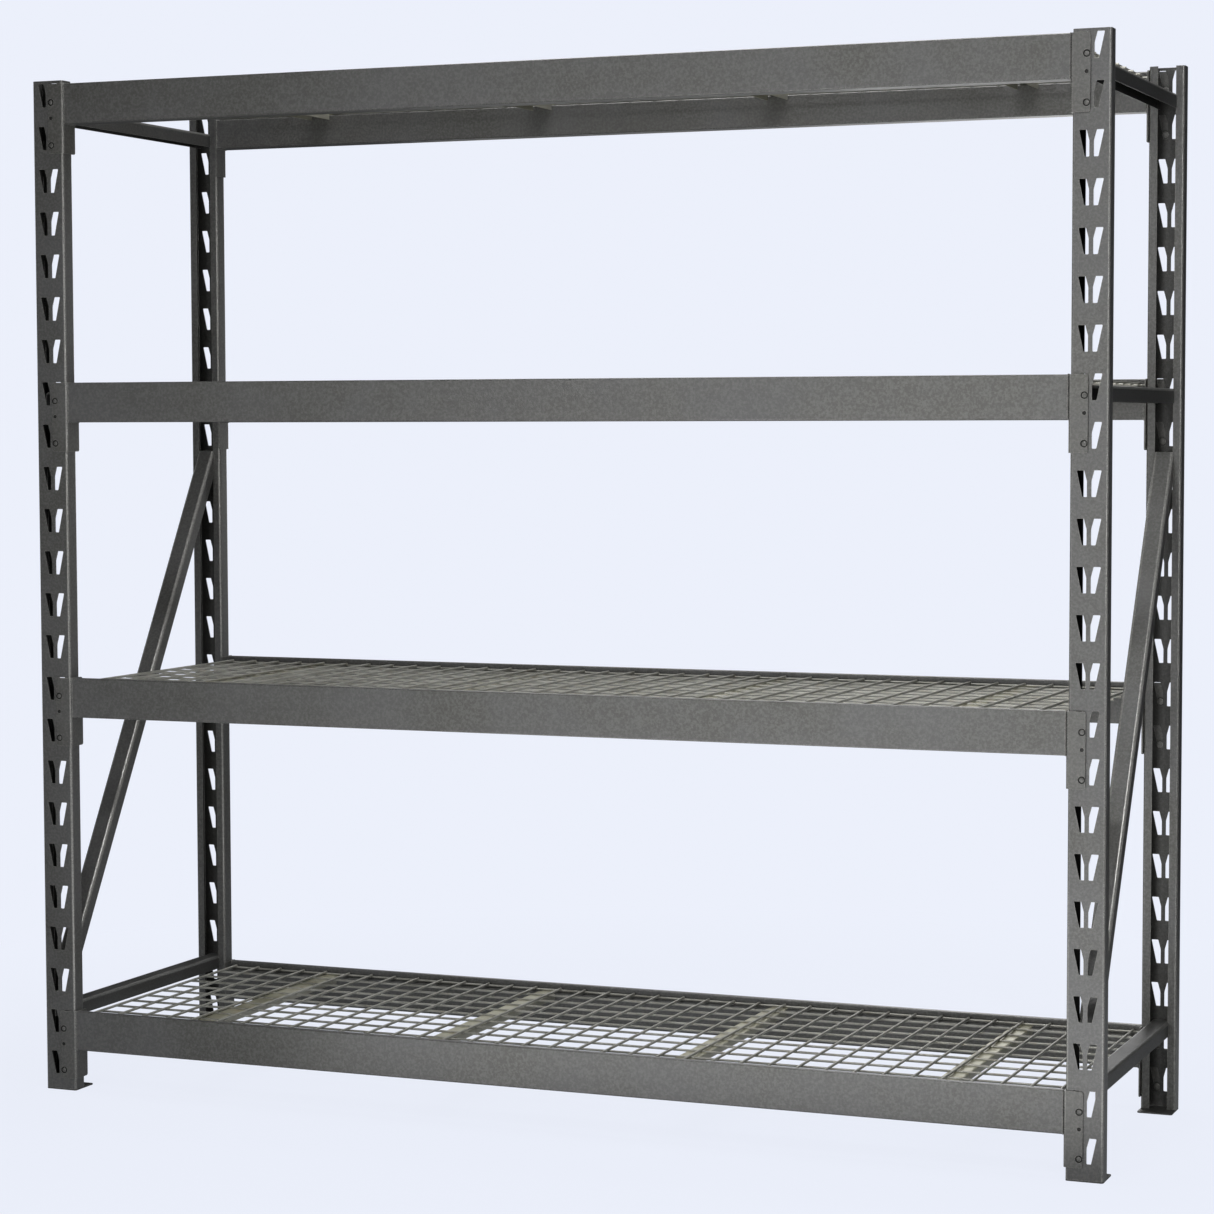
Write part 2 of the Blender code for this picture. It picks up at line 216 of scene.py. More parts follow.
def grey(value, warmth=0.0):
    """Neutral colour of this brightness; warmth above 0 leans to olive, below 0 to blue."""
    return (value * (1 + 0.5 * warmth), value * (1 + 0.35 * warmth), value * (1 - warmth), 1.0)


def paint(name, base=0.105, warmth=0.02, gloss=0.40, bend_highlight=0.48):
    """Gunmetal paint: mottled, faintly dimpled, rubbed through on edges, with painted highlights
    on edges and bends and painted shade in recesses and deep inside.

    base is its brightness, gloss its mean roughness, and bend_highlight how strongly the bends
    are painted lighter as a highlight, from 0 to 1.
    """
    material = bpy.data.materials.new(name)
    material.use_nodes = True
    nodes = Nodes(material.node_tree)
    place = nodes.add("TexCoord").outputs["Object"]
    broad = nodes.noise(place, PAINT_BROAD, 4.0, 0.6)
    mottle = nodes.noise(place, PAINT_MOTTLE, 3.0, 0.65)
    speckle = nodes.noise(place, PAINT_SPECKLE, 2.0, 0.6)
    tone = nodes.mix(nodes.spread(broad, 0.3, 0.7), grey(base * 0.79, warmth + 0.04),
                     grey(base * 1.03, warmth - 0.02))
    tone = nodes.mix(nodes.spread(mottle, 0.38, 0.66, 0.0, 0.55), tone, grey(base * 1.52, warmth))
    tone = nodes.mix(nodes.spread(speckle, 0.62, 0.80, 0.0, 0.5), tone, grey(base * 0.55, warmth))
    # paint rubbed through on edges, and the edges painted lighter as a highlight too
    worn_and_highlit = nodes.maths("MULTIPLY", nodes.edges(EDGE_REACH),
                       nodes.spread(mottle, 0.35, 0.65, 0.35, 0.9))
    tone = nodes.mix(worn_and_highlit, tone, grey(RUBBED_EDGE_AND_HIGHLIGHT, 0.06))
    bend = nodes.add("Attribute", {"attribute_name": BEND}).outputs["Fac"]
    # painted highlight: bends lighter in colour
    bend_highlight_share = nodes.maths("MULTIPLY", bend, nodes.spread(mottle, 0.3, 0.7, bend_highlight * 0.6, bend_highlight))
    tone = nodes.mix(bend_highlight_share, tone, grey(BEND_HIGHLIGHT_TONE, 0.04))
    # painted shade on recess floors, where the mark is -1
    tone = nodes.mix(nodes.maths("MULTIPLY", bend, -0.85), tone, grey(RECESS_SHADE))
    # painted shade where the piece's own metal closes round a place
    open_sky = nodes.add("AmbientOcclusion", {"samples": 6, "only_local": True},
                         Distance=INSIDE_REACH).outputs["AO"]
    tone = nodes.mix(nodes.spread(open_sky, 0.35, 0.90, 0.93, 0.0), tone,
                     grey(INSIDE_SHADE, 0.1))
    rough = nodes.maths("ADD", nodes.spread(broad, 0.3, 0.7, gloss - 0.04, gloss + 0.05),
                        nodes.spread(speckle, 0.3, 0.8, -0.03, 0.06))
    rough = nodes.maths("SUBTRACT", rough, nodes.maths("MULTIPLY", bend, 0.16))
    dimples = nodes.add("TexVoronoi", {"feature": "SMOOTH_F1"}, Vector=place,
                        Scale=PAINT_DIMPLES, Smoothness=0.8).outputs["Distance"]
    relief = nodes.add("Bump", Height=dimples, Strength=0.35, Distance=0.0004).outputs["Normal"]
    relief = nodes.add("Bump", Height=speckle, Strength=0.15, Distance=0.0003,
                       Normal=relief).outputs["Normal"]
    shader = nodes.add("BsdfPrincipled", Base_Color=tone, Roughness=rough, Metallic=0.35,
                       Normal=relief, Specular_IOR_Level=0.45)
    nodes.add("OutputMaterial", Surface=shader.outputs["BSDF"])
    return material


def plating(name, base, warmth, gloss, stain=0.5, clean_lit_sides=0.0):
    """Dull zinc plating: grainy, patchy, with olive and brown passivation stains.

    base is its brightness, gloss its mean roughness, stain the strength of the stains, and
    clean_lit_sides how far the faces that look sideways are paler and more neutral, partly as less
    stained plating and partly as painted light, from 0 to 1.
    """
    material = bpy.data.materials.new(name)
    material.use_nodes = True
    nodes = Nodes(material.node_tree)
    place = nodes.add("TexCoord").outputs["Object"]
    broad = nodes.noise(place, PLATING_BROAD, 4.0, 0.65)
    patches = nodes.noise(place, PLATING_PATCHES, 3.0, 0.6)
    grain = nodes.noise(place, PLATING_GRAIN, 2.0, 0.6)
    tone = nodes.mix(nodes.spread(broad, 0.3, 0.7), grey(base * 0.75, warmth),
                     grey(base * 1.25, warmth * 0.6))
    stained = nodes.spread(patches, 0.52, 0.75, 0.0, stain)
    tone = nodes.mix(stained, tone, (base * 0.85, base * 0.62, base * 0.30, 1.0))
    tone = nodes.mix(nodes.spread(grain, 0.4, 0.8, 0.0, 0.35), tone, grey(base * 1.6, warmth))
    # sideways faces paler: partly less stained plating, partly painted light
    normal = nodes.add("SeparateXYZ", Vector=nodes.add("NewGeometry").outputs["Normal"])
    sideways = nodes.spread(nodes.maths("ABSOLUTE", normal.outputs["X"]), 0.3, 0.9, 0.0,
                            clean_lit_sides)
    tone = nodes.mix(sideways, tone, grey(CLEAN_LIT_SIDE, 0.06))
    rough = nodes.maths("ADD", nodes.spread(broad, 0.3, 0.7, gloss - 0.06, gloss + 0.08),
                        nodes.spread(stained, 0.0, 0.5, 0.0, 0.15))
    relief = nodes.add("Bump", Height=grain, Strength=0.25, Distance=0.0002).outputs["Normal"]
    relief = nodes.add("Bump", Height=patches, Strength=0.10, Distance=0.0006,
                       Normal=relief).outputs["Normal"]
    shader = nodes.add("BsdfPrincipled", Base_Color=tone, Roughness=rough, Metallic=0.55,
                       Normal=relief)
    nodes.add("OutputMaterial", Surface=shader.outputs["BSDF"])
    return material


# ---- outlines and skins --------------------------------------------------------------------

def rounded(corners, radii, closed=True):
    """A 2-D outline with arcs for corners; radii is one radius, or one for each corner."""
    count = len(corners)
    if not isinstance(radii, (list, tuple)):
        radii = [radii] * count
    points = []
    for index, (corner, radius) in enumerate(zip(corners, radii)):
        here = Vector(corner)
        if radius == 0 or (not closed and index in (0, count - 1)):
            points.append(here)
            continue
        before = (Vector(corners[index - 1]) - here).normalized()
        after = (Vector(corners[(index + 1) % count]) - here).normalized()
        opening = before.angle(after)
        turn = math.pi - opening
        centre = here + (before + after).normalized() * radius / math.sin(opening / 2)
        first = here + before * radius / math.tan(opening / 2) - centre
        last = here + after * radius / math.tan(opening / 2) - centre
        parts = max(1, round(turn / ARC_STEP))
        for part in range(parts + 1):
            share = part / parts
            offset = first * math.sin((1 - share) * turn) + last * math.sin(share * turn)
            points.append(centre + offset / math.sin(turn))
    return points


def longest_strip(points):
    """Index of the longest straight piece of an open line."""
    return max(range(len(points) - 1), key=lambda i: (points[i + 1] - points[i]).length)


def bend_share(points, index, closed):
    """1 in the middle of a bend, 0 at its ends and on straight pieces."""
    if not closed and index in (0, len(points) - 1):
        return 0.0
    here = points[index]
    turn = (here - points[index - 1]).angle(points[(index + 1) % len(points)] - here)
    return min(1.0, max(0.0, 2 * turn / ARC_STEP - 1))


def sweep(bm, points, start, end, place, closed=False, skip=()):
    """Strips of skin between a line at start and at end; place(point, along) puts each vertex."""
    bends = bm.verts.layers.float.new(BEND)
    rings = []
    for along in (start, end):
        rings.append([bm.verts.new(place(point, along)) for point in points])
        for index, vert in enumerate(rings[-1]):
            vert[bends] = bend_share(points, index, closed)
    last = len(points) if closed else len(points) - 1
    for index in range(last):
        after = (index + 1) % len(points)
        if index not in skip:
            bm.faces.new((rings[0][index], rings[0][after], rings[1][after], rings[1][index]))
    return rings


def fill(bm, outline, holes, normal):
    """Fill a flat outline round its hole loops, facing along normal."""
    edges = []
    for loop in [outline] + holes:
        for first, second in zip(loop, loop[1:] + loop[:1]):
            edges.append(bm.edges.get((first, second)) or bm.edges.new((first, second)))
    filled = bmesh.ops.triangle_fill(bm, use_beauty=True, edges=edges, normal=normal)
    for face in filled["geom"]:
        if isinstance(face, bmesh.types.BMFace) and face.normal.dot(normal) < 0:
            face.normal_flip()


def thicken(bm, gauge):
    """Give the skin in bm its gauge, behind the drawn face, and round its cut edges."""
    mesh = bpy.data.meshes.new("skin")
    bm.to_mesh(mesh)
    skin = bpy.data.objects.new("skin", mesh)
    bpy.context.scene.collection.objects.link(skin)
    solid = skin.modifiers.new("gauge", "SOLIDIFY")
    solid.thickness = gauge
    solid.offset = -1.0
    solid.use_even_offset = True
    bevel = skin.modifiers.new("cut edges", "BEVEL")
    bevel.width = EDGE_ROUND
    bevel.segments = 2
    bevel.limit_method = "ANGLE"
    bevel.angle_limit = CUT_ANGLE
    depsgraph = bpy.context.evaluated_depsgraph_get()
    final = bpy.data.meshes.new_from_object(skin.evaluated_get(depsgraph))
    bm.clear()
    bm.from_mesh(final)
    bpy.data.objects.remove(skin)
    bpy.data.meshes.remove(mesh)
    bpy.data.meshes.remove(final)


def bar(bm, path, radii, normal, sides, closed=False):
    """Round bar along path with a radius at each point; the path never runs along normal."""
    count = len(path)
    rings = []
    for index, point in enumerate(path):
        before = path[index - 1] if closed or index else point
        after = path[(index + 1) % count] if closed or index < count - 1 else point
        across = (after - before).cross(normal).normalized()
        up = across.cross(after - before).normalized()
        ring = []
        for side in range(sides):
            turn = 2 * math.pi * side / sides
            spoke = across * math.cos(turn) + up * math.sin(turn)
            ring.append(bm.verts.new(point + spoke * radii[index]))
        rings.append(ring)
    pairs = list(zip(rings, rings[1:]))
    if closed:
        pairs.append((rings[-1], rings[0]))
    faces = []
    for first, second in pairs:
        for side in range(sides):
            after = (side + 1) % sides
            faces.append(bm.faces.new((first[side], first[after], second[after], second[side])))
    if not closed:
        faces.append(bm.faces.new(rings[0]))
        faces.append(bm.faces.new(rings[-1]))
    bmesh.ops.recalc_face_normals(bm, faces=faces)


def weld_bead(bm, path, radius, normal, closed=False):
    """Rippled weld along a path, tapered at its ends unless it closes on itself."""
    step = radius * WELD_STEP
    stops = []
    ends = path[1:] + path[:1] if closed else path[1:]
    for first, second in zip(path, ends):
        parts = max(1, round((second - first).length / step))
        stops += [first.lerp(second, part / parts) for part in range(parts)]
    if not closed:
        stops.append(path[-1])
    radii = []
    for index, point in enumerate(stops):
        ripple = BEAD_RIPPLE[0] + BEAD_RIPPLE[1] * math.cos(index * math.pi / 2)
        ripple += BEAD_UNEVEN[0] * noise.noise(point * BEAD_UNEVEN[1])
        taper = 1.0 if closed else min(1.0, (min(index, len(stops) - 1 - index) + 0.6) / 2)
        radii.append(radius * ripple * taper)
    bar(bm, stops, radii, normal, WELD_SIDES, closed)


def turned(bm, profile, centre):
    """Solid of revolution about the Y line through centre; profile is (radius, y, mark), where a
    mark of -1 paints shade on a recess floor.
    """
    bends = bm.verts.layers.float.get(BEND)
    poles = [bm.verts.new((centre.x, profile[end][1], centre.z)) for end in (0, -1)]
    for pole, end in zip(poles, (0, -1)):
        pole[bends] = profile[end][2]
    rings = []
    for radius, depth, mark in profile[1:-1]:
        ring = []
        for side in range(TURNED_SIDES):
            turn = 2 * math.pi * side / TURNED_SIDES
            ring.append(bm.verts.new((centre.x + radius * math.cos(turn), depth,
                                      centre.z + radius * math.sin(turn))))
            ring[-1][bends] = mark
        rings.append(ring)
    faces = []
    for side in range(TURNED_SIDES):
        after = (side + 1) % TURNED_SIDES
        faces.append(bm.faces.new((poles[0], rings[0][side], rings[0][after])))
        faces.append(bm.faces.new((poles[1], rings[-1][after], rings[-1][side])))
        for first, second in zip(rings, rings[1:]):
            faces.append(bm.faces.new((first[side], second[side], second[after], first[after])))
    bmesh.ops.recalc_face_normals(bm, faces=faces)


# ---- pieces --------------------------------------------------------------------------------

BODY_OF = {node: body for body, nodes in frame["record"]["behaviour"]["bodies"].items()
           for node in nodes}


def span(node):
    """Low corner, high corner and middle of a CAD node's box."""
    low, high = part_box(node)
    return low, high, (low + high) / 2


def add_piece(node, bm, material, placing=None):
    """Make bm the finished piece that stands for a CAD node and rides on its body."""
    if placing:
        bmesh.ops.transform(bm, matrix=placing, verts=bm.verts)
    mesh = bpy.data.meshes.new(node + "_finished")
    bm.to_mesh(mesh)
    bm.free()
    mesh.shade_smooth()
    mesh.set_sharp_from_angle(angle=SHARP_ANGLE)
    mesh.materials.append(material)
    piece = bpy.data.objects.new(node + "_finished", mesh)
    bpy.context.scene.collection.objects.link(piece)
    normals = piece.modifiers.new("flat faces stay flat", "WEIGHTED_NORMAL")
    normals.keep_sharp = True
    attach(piece, BODY_OF[node])
    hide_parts(node)


def facing(x, y, front):
    """Placing for a piece drawn with its face on y = 0 towards -Y, at the front or at the back."""
    turn = Matrix.Identity(4) if front else Matrix.Rotation(math.pi, 4, "Z")
    return Matrix.Translation((x, y, 0.0)) @ turn


def slot_hole(bm, top, side):
    """Loop of one tapered slot in the web, with its corners rounded."""
    corners = ((side * SLOT_TOP[0], top), (side * SLOT_TOP[1], top),
               (side * SLOT_FOOT[1], top - SLOT_LENGTH), (side * SLOT_FOOT[0], top - SLOT_LENGTH),
               (side * SLOT_FOOT[0], top - SLOT_SHOULDER))
    radii = (SLOT_ROUND, SLOT_ROUND, SLOT_ROUND, SLOT_ROUND, SHOULDER_ROUND)
    return [bm.verts.new((point.x, 0.0, point.y)) for point in rounded(corners, radii)]


def post(node, material):
    """Lipped channel with two columns of tapered slots in its web."""
    low, high, middle = span(node)
    half = (high.x - low.x) / 2
    flange = high.y - low.y
    lip = POST_OPENING / 2
    line = rounded(((-lip, flange), (-half, flange), (-half, 0.0), (half, 0.0), (half, flange),
                    (lip, flange)), POST_BEND, closed=False)
    web = longest_strip(line)
    bm = bmesh.new()
    foot, head = sweep(bm, line, low.z, high.z, lambda p, z: (p.x, p.y, z), skip=(web,))
    holes = [slot_hole(bm, high.z - FIRST_SLOT_DROP - row * SLOT_PITCH, side)
             for row in range(SLOT_ROWS) for side in (-1, 1)]
    fill(bm, [foot[web], foot[web + 1], head[web + 1], head[web]], holes, Vector((0, -1, 0)))
    thicken(bm, POST_SHEET)
    front = low.y < 0
    face = low.y if front else high.y
    add_piece(node, bm, material, facing(middle.x, face, front))


def foot_plate(node, material):
    """Pressed plate under a post, with rounded corners."""
    low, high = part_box(node)
    corners = ((low.x, low.y), (high.x, low.y), (high.x, high.y), (low.x, high.y))
    bm = bmesh.new()
    face = bm.faces.new([bm.verts.new((point.x, point.y, high.z))
                         for point in rounded(corners, TAB_CORNER)])
    face.normal_update()
    if face.normal.z < 0:
        face.normal_flip()
    thicken(bm, high.z - low.z)
    add_piece(node, bm, material)


def channel(width, length):
    """Brace channel along Y with its web's outer face on z = 0, centred on its length."""
    half = width / 2
    line = rounded(((half, -BRACE_HEIGHT), (half, 0.0), (-half, 0.0), (-half, -BRACE_HEIGHT)),
                   BRACE_BEND, closed=False)
    bm = bmesh.new()
    sweep(bm, line, -length / 2, length / 2, lambda p, y: (p.x, y, p.y))
    thicken(bm, BRACE_SHEET)
    return bm


def weld_rows():
    """Y of the welds between a brace and the lips of the front and the back post."""
    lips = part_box("post_front_left")[0].y + POST_FLANGE
    return lips + GAP, -lips - GAP


def level_brace(node, material):
    """Horizontal brace, welded between the lips of both posts."""
    low, high, middle = span(node)
    half = (high.x - low.x) / 2
    bm = channel(high.x - low.x, high.y - low.y)
    for y in weld_rows():
        for side in (-1, 1):
            x = side * (half + GAP)
            weld_bead(bm, [Vector((x, y, -LEVEL_WELD_INSET)),
                           Vector((x, y, -BRACE_HEIGHT + LEVEL_WELD_INSET))],
                      WELD, Vector((0, 1, 0)))
    add_piece(node, bm, material,
              Matrix.Translation((middle.x, middle.y, high.z)))


def lean_of(run, rise):
    """Slope of a bar BRACE_HEIGHT deep whose box is run long and rise high, by bisection."""
    low, high = math.radians(30), math.radians(85)
    for _ in range(50):
        tilt = (low + high) / 2
        error = run * math.sin(tilt) - rise * math.cos(tilt) + BRACE_HEIGHT * math.cos(2 * tilt)
        if error < 0:
            low = tilt
        else:
            high = tilt
    return tilt


def diagonal_brace(node, material):
    """Sloping brace from low at the front to high at the back, welded between the lips."""
    low, high, middle = span(node)
    tilt = lean_of(high.y - low.y, high.z - low.z)
    along = Vector((0, math.cos(tilt), math.sin(tilt)))
    length = (high.z - low.z - BRACE_HEIGHT * math.cos(tilt)) / math.sin(tilt)
    half = (high.x - low.x) / 2
    outward = Vector((0, -math.sin(tilt), math.cos(tilt)))
    web_middle = middle + outward * BRACE_HEIGHT / 2
    bm = channel(high.x - low.x, length)
    bmesh.ops.transform(bm, matrix=Matrix.Translation(web_middle) @ Matrix.Rotation(tilt, 4, "X"),
                        verts=bm.verts)
    reach = BRACE_HEIGHT / math.cos(tilt)
    for y in weld_rows():
        top = web_middle.z + (y - web_middle.y) * math.tan(tilt)
        for side in (-1, 1):
            x = middle.x + side * (half + GAP)
            weld_bead(bm, [Vector((x, y, top - SLOPED_WELD_INSET)),
                           Vector((x, y, top - reach + SLOPED_WELD_INSET))],
                      WELD, along.cross(Vector((1, 0, 0))))
    add_piece(node, bm, material)


def beam(node, material):
    """Step beam: closed tube with a lip in front and a ledge for the deck behind it."""
    low, high, middle = span(node)
    depth = high.y - low.y
    height = high.z - low.z
    half = (high.x - low.x) / 2
    corners = ((0.0, -height), (depth, -height), (depth, -BEAM_STEP), (BEAM_LIP, -BEAM_STEP),
               (BEAM_LIP, 0.0), (0.0, 0.0))
    line = rounded(corners, BEAM_BEND)
    bm = bmesh.new()
    sweep(bm, line, -half, half, lambda p, x: (x, p.x, p.y), closed=True)
    thicken(bm, BEAM_SHEET)
    for x in (-half + WELD / 2, half - WELD / 2):
        weld_bead(bm, [Vector((x, p.x, p.y)) for p in line], WELD * BEAM_WELD,
                  Vector((1, 0, 0)), closed=True)
    front = middle.y < 0
    face = low.y if front else high.y
    add_piece(node, bm, material,
              Matrix.Translation((0, 0, high.z)) @ facing(middle.x, face, front))


def connector(node, material):
    """L plate round a post's corner, with two riveted studs and the hole for a lock pin."""
    low, high, middle = span(node)
    front = middle.y < 0
    holder = "post_%s_%s" % tuple(node.split("_")[1:3])
    post_low, post_high, post_middle = span(holder)
    post_face = post_low.y if front else post_high.y
    height = high.z - low.z
    outward = -1 if front else 1
    side = (-1 if middle.x > post_middle.x else 1) * outward
    reach = abs((high.y if front else low.y) - post_face)
    width = (post_high.x - post_low.x) / 2 + GAP + CONNECTOR_SHEET
    face = -GAP - CONNECTOR_SHEET
    line = rounded(((CONNECTOR_INNER, face), (width, face), (width, reach)), CONNECTOR_BEND,
                   closed=False)
    bm = bmesh.new()
    bend = line[1:-1]
    foot, head = sweep(bm, bend, -height, 0.0, lambda p, z: (side * p.x, p.y, z))
    if side < 0:
        bmesh.ops.reverse_faces(bm, faces=bm.faces[:])
    recesses = ((STUD_DROP, RIVET_RECESS), (STUD_DROP + SLOT_PITCH, RIVET_RECESS),
                (LOCK_HOLE_DROP, LOCK_HOLE_RADIUS))
    legs = (((CONNECTOR_INNER, -height), (CONNECTOR_INNER, 0.0), lambda u, z: (side * u, face, z),
             0, Vector((0, -1, 0))),
            ((reach, -height), (reach, 0.0), lambda u, z: (side * width, u, z),
             -1, Vector((side, 0, 0))))
    for bottom, top, put, end, normal in legs:
        inner = line[1].x if end == 0 else line[-2].y
        corners = ((inner, -height), bottom, top, (inner, 0.0))
        flat = rounded(corners, (0, CONNECTOR_CORNER, CONNECTOR_CORNER, 0))
        loop = [foot[end]] + [bm.verts.new(put(p.x, p.y)) for p in flat[1:-1]] + [head[end]]
        holes = []
        if end == 0:
            for drop, radius in recesses:
                ring = []
                for step in range(HOLE_SIDES):
                    turn = 2 * math.pi * step / HOLE_SIDES
                    ring.append(bm.verts.new(put(STUD_OFFSET + radius * math.cos(turn),
                                                 -drop + radius * math.sin(turn))))
                holes.append(ring)
        fill(bm, loop, holes, normal)
    thicken(bm, CONNECTOR_SHEET)
    floor = face + RECESS_DEPTH
    back = -GAP - RECESS_BACK
    head_start = POST_SHEET + GAP
    head_end = head_start + STUD_HEAD_DEPTH
    # a mark of -1 paints shade on the floors of the recesses
    stud = ((0.0, face - RIVET_RISE, 0), (RIVET_HEAD - RIVET_CROWN, face - RIVET_RISE, 0),
            (RIVET_HEAD, face + RIVET_RIM, 0), (RIVET_HEAD, floor, -1), (RIVET_RECESS, floor, -1),
            (RIVET_RECESS, back, 0), (STUD_NECK, back, 0), (STUD_NECK, head_start, 0),
            (STUD_HEAD - NEAR_CHAMFER, head_start, 0), (STUD_HEAD, head_start + NEAR_CHAMFER, 0),
            (STUD_HEAD, head_end - FAR_CHAMFER[1], 0), (STUD_HEAD - FAR_CHAMFER[0], head_end, 0),
            (0.0, head_end, 0))
    plug = ((0.0, floor, -1), (LOCK_HOLE_RADIUS, floor, -1), (LOCK_HOLE_RADIUS, back, 0),
            (0.0, back, 0))
    for profile, drop in ((stud, STUD_DROP), (stud, STUD_DROP + SLOT_PITCH),
                          (plug, LOCK_HOLE_DROP)):
        turned(bm, profile, Vector((side * STUD_OFFSET, 0.0, -drop)))
    add_piece(node, bm, material,
              Matrix.Translation((0, 0, high.z)) @ facing(post_middle.x, post_face, front))


def wander(place, which):
    """Sideways stray of wire number which at this distance along it."""
    return WIRE_WANDER * noise.noise(Vector((place * WANDER_RATE, which * WANDER_STRIDE, 0.5)))


def stations(first, last, crossings):
    """Distances along a wire: its rounded ends and the crossings with the other wires."""
    clear = 2 * WIRE_END
    inner = [place for place in crossings if first + clear < place < last - clear]
    return [first, first + WIRE_END] + inner + [last - WIRE_END, last]


def spaced(first, last, count):
    """Evenly spaced distances, with both ends among them."""
    return [first + (last - first) * index / (count - 1) for index in range(count)]


def wire_radii(path, radius):
    """Radius at each point of a wire, with the cut ends rounded off."""
    return [radius * WIRE_TIP] + [radius] * (len(path) - 2) + [radius * WIRE_TIP]


def deck(node, material):
    """Lattice of lengthwise wires below and front-to-back wires above, welded where they cross."""
    low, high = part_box(node)
    rows = spaced(low.y + LONG_RADIUS, high.y - LONG_RADIUS, LONG_WIRES)
    columns = spaced(low.x + CROSS_RADIUS, high.x - CROSS_RADIUS, CROSS_WIRES)
    lower = low.z + LONG_RADIUS
    upper = high.z - CROSS_RADIUS
    up = Vector((0, 0, 1))
    first_row = low.z * 100          # so that the wire numbers differ from deck to deck
    first_column = first_row + FIRST_COLUMN
    bm = bmesh.new()
    along = stations(low.x - LONG_OVERHANG, high.x + LONG_OVERHANG, columns)
    for index, y in enumerate(rows):
        path = [Vector((x, y + wander(x, first_row + index), lower)) for x in along]
        bar(bm, path, wire_radii(path, LONG_RADIUS), up, WIRE_SIDES)
    along = stations(low.y, high.y, rows)
    for index, x in enumerate(columns):
        path = [Vector((x + wander(y, first_column + index), y, upper)) for y in along]
        bar(bm, path, wire_radii(path, CROSS_RADIUS), up, WIRE_SIDES)
    for column, x in enumerate(columns):
        for row, y in enumerate(rows):
            weld_nugget(bm, Vector((x + wander(y, first_column + column),
                                    y + wander(x, first_row + row), (lower + upper) / 2)))
    add_piece(node, bm, material)


def weld_nugget(bm, centre):
    """Small flattened lump where two wires are fused."""
    rings = []
    for radius, rise in NUGGET_RINGS:
        ring = []
        for side in range(NUGGET_SIDES):
            turn = 2 * math.pi * (side + 0.5) / NUGGET_SIDES
            ring.append(bm.verts.new(centre + Vector((radius * math.cos(turn),
                                                      radius * math.sin(turn), rise))))
        rings.append(ring)
    for first, second in zip(rings, rings[1:]):
        for side in range(NUGGET_SIDES):
            after = (side + 1) % NUGGET_SIDES
            bm.faces.new((first[side], first[after], second[after], second[side]))
    bm.faces.new(rings[0][::-1])
    bm.faces.new(rings[-1])


def support(node, material):
    """Deck channel along Y; its web runs on past the flanges as tabs that rest on the ledges."""
    low, high, middle = span(node)
    half = (high.x - low.x) / 2
    depth = high.z - low.z
    reach = (high.y - low.y) / 2
    body = reach - SUPPORT_TAB
    line = rounded(((half, -depth), (half, 0.0), (-half, 0.0), (-half, -depth)), SUPPORT_BEND,
                   closed=False)
    web = longest_strip(line)
    bm = bmesh.new()
    near, far = sweep(bm, line, -body, body, lambda p, y: (p.x, y, p.y))
    for ring, end in ((near, -1), (far, 1)):
        right, left = ring[web], ring[web + 1]
        corners = ((right.co.x, body), (right.co.x, reach), (left.co.x, reach), (left.co.x, body))
        flat = rounded(corners, (0, TAB_CORNER, TAB_CORNER, 0))[1:-1]
        outer = [bm.verts.new((p.x, end * p.y, 0.0)) for p in flat]
        face = bm.faces.new([right] + outer + [left])
        face.normal_update()
        if face.normal.z < 0:
            face.normal_flip()
    thicken(bm, SUPPORT_SHEET)
    add_piece(node, bm, material,
              Matrix.Translation((middle.x, middle.y, high.z)))


def build_rack():
    """Every piece of the rack, one for each CAD node."""
    frame_paint = paint("frame_paint")
    beam_paint = paint("beam_paint", base=0.11, bend_highlight=0.1)
    connector_paint = paint("connector_paint", base=0.108, warmth=0.04, bend_highlight=0.4)
    # painted shade: a darker copy of the frame paint for the braces, which sit in shade
    shaded_brace_paint = paint("shaded_brace_paint", base=0.07, gloss=0.5, bend_highlight=0.25)
    # bend_highlight 0.9 paints a bright highlight line along the diagonals' bends
    diagonal_paint = paint("diagonal_paint", base=0.10, gloss=0.36, bend_highlight=0.9)
    foot_paint = paint("foot_paint", base=0.06, gloss=0.5)
    wire = plating("deck_wire", 0.34, 0.10, 0.42, stain=0.20)
    # its sideways faces painted paler, partly for the light that falls on them
    channel_plating = plating("deck_support", 0.38, 0.26, 0.42, stain=0.7, clean_lit_sides=0.6)
    makers = (("post_", post, frame_paint), ("foot_", foot_plate, foot_paint),
              ("brace_", level_brace, shaded_brace_paint), ("beam_", beam, beam_paint),
              ("connector_", connector, connector_paint), ("deck_mesh_", deck, wire),
              ("deck_support_", support, channel_plating))
    for node in sorted(frame["nodes"]):
        if node.endswith("diagonal"):
            diagonal_brace(node, diagonal_paint)
            continue
        for prefix, make, material in makers:
            if node.startswith(prefix):
                make(node, material)


# ---- studio --------------------------------------------------------------------------------

BACKDROP = (0.838, 0.871, 0.965, 1.0)       # pale blue-white, as seen by the camera
DIM_SURROUND = (0.028, 0.030, 0.034, 1.0)   # what backdrop and far floor cast on the rack
FLOOR_REACH = 7.0
FLOOR_GLOW = (0.30, 0.31, 0.32, 1.0)        # what the lit floor round the rack casts on it
GLOW_REACH = (1.3, 2.6)     # distances from the middle over which the glow fades out
FLOOR_MATT = 0.06           # share of the floor that takes light and shadow
SHADOW_REACH = (1.1, 2.2)   # distances from the middle over which that share fades out

# Camera at the photograph's viewing angle
CAMERA_PLACE = (2.0890, -5.0662, 1.2103)
CAMERA_TURN = math.radians(21.834)  # to the left of +Y
CAMERA_DIP = math.radians(3.669)    # below level
CAMERA_ROLL = math.radians(0.124)
CAMERA_LENS = 91.20
CAMERA_SHIFT = (-0.0212, 0.0130)

